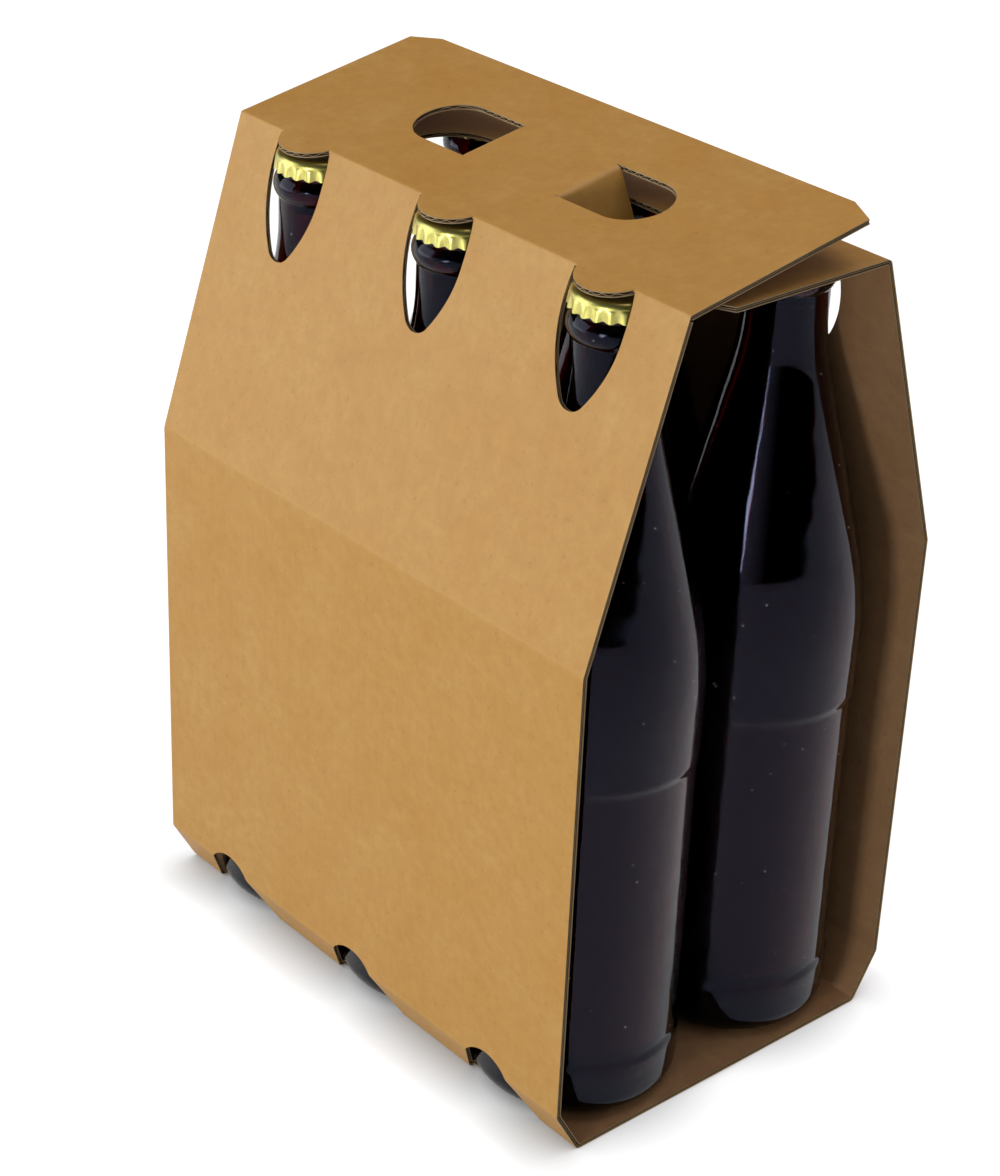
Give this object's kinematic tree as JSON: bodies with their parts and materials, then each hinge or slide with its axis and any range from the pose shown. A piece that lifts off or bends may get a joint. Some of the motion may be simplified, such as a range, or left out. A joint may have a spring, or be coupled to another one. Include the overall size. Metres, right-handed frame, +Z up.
{
  "type": "bottle carrier",
  "caption": "Open-ended kraft corrugated sleeve carrying capped amber glass bottles in two rows, with finger holes and a top flap that stands ajar on its fold.",
  "frame": {"origin": "centre of the base panel's underside", "axes": "+X along the rows of bottles, the front panel faces -Y, +Z up"},
  "size_m": [0.2036, 0.1424, 0.2846],
  "materials": {
    "kraft_board": "uncoated kraft",
    "amber_glass": "polished dark amber",
    "beer": "clear liquid",
    "crown_cap": "glossy gold lacquer",
    "cap_liner": "soft polymer"
  },
  "bodies": {
    "carrier": {"sleeve": "kraft_board", "bottle_front_1": "amber_glass", "bottle_front_2": "amber_glass", "bottle_front_3": "amber_glass", "bottle_back_1": "amber_glass", "bottle_back_2": "amber_glass", "bottle_back_3": "amber_glass", "beer_front_1": "beer", "beer_front_2": "beer", "beer_front_3": "beer", "beer_back_1": "beer", "beer_back_2": "beer", "beer_back_3": "beer", "cap_front_1": "crown_cap", "cap_front_2": "crown_cap", "cap_front_3": "crown_cap", "cap_back_1": "crown_cap", "cap_back_2": "crown_cap", "cap_back_3": "crown_cap", "liner_front_1": "cap_liner", "liner_front_2": "cap_liner", "liner_front_3": "cap_liner", "liner_back_1": "cap_liner", "liner_back_2": "cap_liner", "liner_back_3": "cap_liner"},
    "lid": {"top_flap": "kraft_board"}
  },
  "joints": [
    {"name": "flap_fold", "type": "hinge", "parent": "carrier", "child": "lid", "pos_m": [0, -0.039, 0.27045], "axis": [1, 0, 0], "range_deg": [-10.5, 3.5], "stiffness_Nm_per_rad": 0.05, "springref_deg": 1.32}
  ]
}
